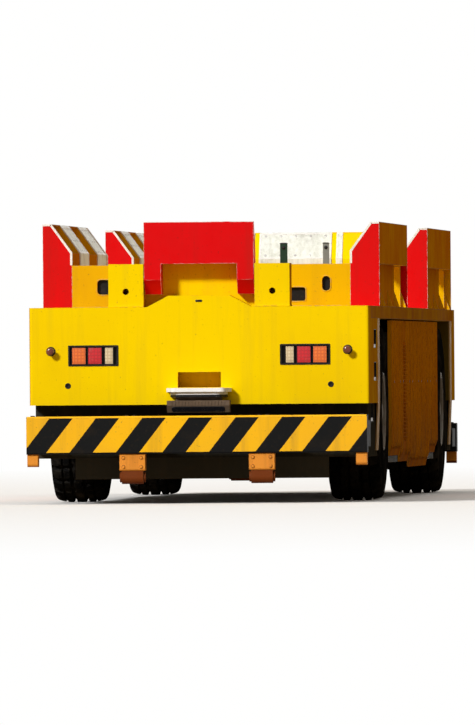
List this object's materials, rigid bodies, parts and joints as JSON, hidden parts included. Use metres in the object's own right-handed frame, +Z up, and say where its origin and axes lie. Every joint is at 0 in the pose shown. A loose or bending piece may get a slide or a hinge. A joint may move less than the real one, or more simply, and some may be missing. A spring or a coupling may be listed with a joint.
{
  "type": "automated guided vehicle",
  "caption": "Driverless flat-deck port vehicle with steered wheels at both ends, slanted container guides, striped bumpers and scanner hood.",
  "frame": {"origin": "on the ground below the middle of the body, at the bottom centre of the bounding box", "axes": "+Z up, +Y along the length towards the front end, +X towards the right side when facing the pictured rear end"},
  "size_m": [3, 14.846, 2.4799],
  "materials": {
    "yellow_paint": "satin",
    "hazard_yellow": "satin",
    "red_paint": "satin",
    "pale_steel": "worn",
    "dark_frame": "matt",
    "black_bumper": "matt",
    "bare_steel": "worn",
    "tyre_rubber": "matt",
    "rim_paint": "satin",
    "amber_plastic": "gloss",
    "red_plastic": "gloss",
    "cream_plastic": "gloss",
    "black_plastic": "matt",
    "white_plastic": "satin",
    "button_red": "gloss",
    "lamp_glass": "gloss"
  },
  "bodies": {
    "chassis": {"frame": "dark_frame", "load_deck": "yellow_paint", "rear_module": "yellow_paint", "front_module": "yellow_paint", "nose_boxes": "dark_frame", "bay_edge_strips": "pale_steel", "rear_bumper": "black_bumper", "front_bumper": "black_bumper", "bumper_stripes": "hazard_yellow", "tow_lugs": "hazard_yellow", "lamp_housings": "black_plastic", "amber_lenses": "amber_plastic", "red_lenses": "red_plastic", "white_lenses": "cream_plastic", "headlamps": "lamp_glass", "scanner_hood": "white_plastic", "scanners": "black_plastic", "stop_buttons": "button_red", "guide_end_plates": "red_paint", "guide_wear_plates": "pale_steel", "end_guides": "red_paint", "end_guide_brackets": "yellow_paint", "rear_bulkhead": "yellow_paint", "deck_posts": "black_plastic", "power_pack": "dark_frame", "belly_pan": "dark_frame", "side_modules": "dark_frame", "side_doors": "yellow_paint", "suspension": "dark_frame", "steering_cylinders": "dark_frame", "left_guides": "yellow_paint", "right_guides": "yellow_paint", "rear_axle": "dark_frame", "front_axle": "dark_frame"},
    "rear_steering_rod": {"rear_steering_rod": "bare_steel"},
    "rear_left_knuckle": {"rear_left_knuckle": "dark_frame"},
    "rear_left_wheel": {"rear_left_rim": "rim_paint", "rear_left_tyre": "tyre_rubber"},
    "rear_right_knuckle": {"rear_right_knuckle": "dark_frame"},
    "rear_right_wheel": {"rear_right_rim": "rim_paint", "rear_right_tyre": "tyre_rubber"},
    "front_steering_rod": {"front_steering_rod": "bare_steel"},
    "front_left_knuckle": {"front_left_knuckle": "dark_frame"},
    "front_left_wheel": {"front_left_rim": "rim_paint", "front_left_tyre": "tyre_rubber"},
    "front_right_knuckle": {"front_right_knuckle": "dark_frame"},
    "front_right_wheel": {"front_right_rim": "rim_paint", "front_right_tyre": "tyre_rubber"}
  },
  "joints": [
    {"name": "rear_left_steer", "type": "hinge", "parent": "chassis", "child": "rear_left_knuckle", "pos_m": [-0.96, -4.345, 0.79], "axis": [0, 0, 1], "range_deg": [-25, 25]},
    {"name": "rear_left_spin", "type": "hinge", "parent": "rear_left_knuckle", "child": "rear_left_wheel", "pos_m": [-1.235, -4.345, 0.79], "axis": [1, 0, 0], "continuous": true},
    {"name": "rear_right_steer", "type": "hinge", "parent": "chassis", "child": "rear_right_knuckle", "pos_m": [0.96, -4.345, 0.79], "axis": [0, 0, 1], "range_deg": [-25, 25]},
    {"name": "rear_right_spin", "type": "hinge", "parent": "rear_right_knuckle", "child": "rear_right_wheel", "pos_m": [1.235, -4.345, 0.79], "axis": [1, 0, 0], "continuous": true},
    {"name": "rear_rod_slide", "type": "slide", "parent": "chassis", "child": "rear_steering_rod", "axis": [1, 0, 0], "range_m": [-0.1, 0.1]},
    {"name": "front_left_steer", "type": "hinge", "parent": "chassis", "child": "front_left_knuckle", "pos_m": [-0.96, 5.1, 0.79], "axis": [0, 0, 1], "range_deg": [-25, 25]},
    {"name": "front_left_spin", "type": "hinge", "parent": "front_left_knuckle", "child": "front_left_wheel", "pos_m": [-1.235, 5.1, 0.79], "axis": [1, 0, 0], "continuous": true},
    {"name": "front_right_steer", "type": "hinge", "parent": "chassis", "child": "front_right_knuckle", "pos_m": [0.96, 5.1, 0.79], "axis": [0, 0, 1], "range_deg": [-25, 25]},
    {"name": "front_right_spin", "type": "hinge", "parent": "front_right_knuckle", "child": "front_right_wheel", "pos_m": [1.235, 5.1, 0.79], "axis": [1, 0, 0], "continuous": true},
    {"name": "front_rod_slide", "type": "slide", "parent": "chassis", "child": "front_steering_rod", "axis": [1, 0, 0], "range_m": [-0.1, 0.1]}
  ],
  "couplings": [
    {"joint": "rear_right_steer", "follows": "rear_left_steer", "ratio": 1},
    {"joint": "rear_rod_slide", "follows": "rear_left_steer", "m_per_rad": 0.2275},
    {"joint": "front_right_steer", "follows": "front_left_steer", "ratio": 1},
    {"joint": "front_rod_slide", "follows": "front_left_steer", "m_per_rad": -0.2275}
  ]
}
